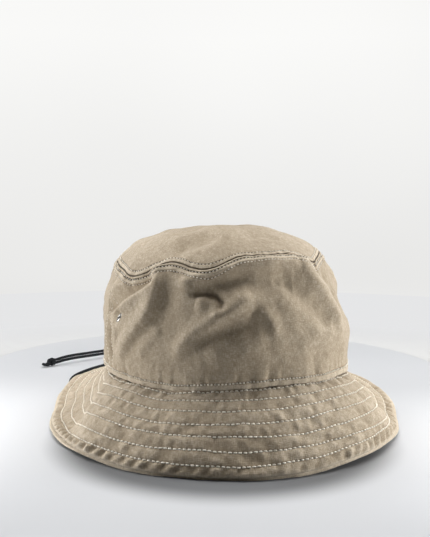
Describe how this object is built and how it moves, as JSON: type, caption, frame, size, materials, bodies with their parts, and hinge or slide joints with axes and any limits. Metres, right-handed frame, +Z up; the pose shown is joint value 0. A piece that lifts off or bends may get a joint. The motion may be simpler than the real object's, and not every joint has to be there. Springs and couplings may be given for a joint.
{
  "type": "bucket hat",
  "caption": "Soft cloth bucket hat with a domed crown, a steep stitched brim, vent eyelets and a chin cord with a sliding cord lock.",
  "frame": {"origin": "on the surface the hat stands on, under the middle of the head opening", "axes": "+X to the wearer's left, +Y to the back of the hat, +Z up; the front faces -Y and the side seams are at -X and +X"},
  "size_m": [0.2646, 0.4219, 0.148],
  "materials": {
    "khaki_cotton": "washed plain weave cotton, matt",
    "under_brim_cotton": "washed plain weave cotton, matt",
    "interlining": "bonded felt, matt",
    "sweatband_cotton": "cotton twill, matt",
    "seam_tape": "cotton tape, matt",
    "label_cloth": "blank woven label, matt",
    "eyelet_metal": "nickel plated, worn",
    "black_cord": "braided polyester, matt",
    "black_plastic": "moulded, fine texture",
    "spring_steel": "drawn wire"
  },
  "bodies": {
    "hat": {"top_panel": "khaki_cotton", "front_side_panel": "khaki_cotton", "rear_side_panel": "khaki_cotton", "upper_brim_front": "khaki_cotton", "upper_brim_rear": "khaki_cotton", "brim_interlining": "interlining", "under_brim_front": "under_brim_cotton", "under_brim_rear": "under_brim_cotton", "sweatband": "sweatband_cotton", "top_seam_tape": "seam_tape", "left_side_seam_tape": "seam_tape", "right_side_seam_tape": "seam_tape", "blank_label": "label_cloth", "left_front_eyelet": "eyelet_metal", "left_front_eyelet_washer": "eyelet_metal", "left_rear_eyelet": "eyelet_metal", "left_rear_eyelet_washer": "eyelet_metal", "right_front_eyelet": "eyelet_metal", "right_front_eyelet_washer": "eyelet_metal", "right_rear_eyelet": "eyelet_metal", "right_rear_eyelet_washer": "eyelet_metal", "left_cord_tab": "seam_tape", "right_cord_tab": "seam_tape", "chin_cord_left": "black_cord", "chin_cord_right": "black_cord", "chin_cord_knot": "black_cord"},
    "cord_lock": {"lock_barrel": "black_plastic", "lock_spring": "spring_steel"},
    "lock_button": {"lock_plunger": "black_plastic"}
  },
  "joints": [
    {"name": "lock_slide", "type": "slide", "parent": "hat", "child": "cord_lock", "axis": [-0.9225, -0.3859, 0], "range_m": [-0.003, 0.066]},
    {"name": "lock_button_press", "type": "slide", "parent": "cord_lock", "child": "lock_button", "axis": [0.3859, -0.9225, 0], "range_m": [0, 0.003], "stiffness_N_per_m": 300, "springref_m": -0.004, "deforming": ["lock_spring"]}
  ]
}
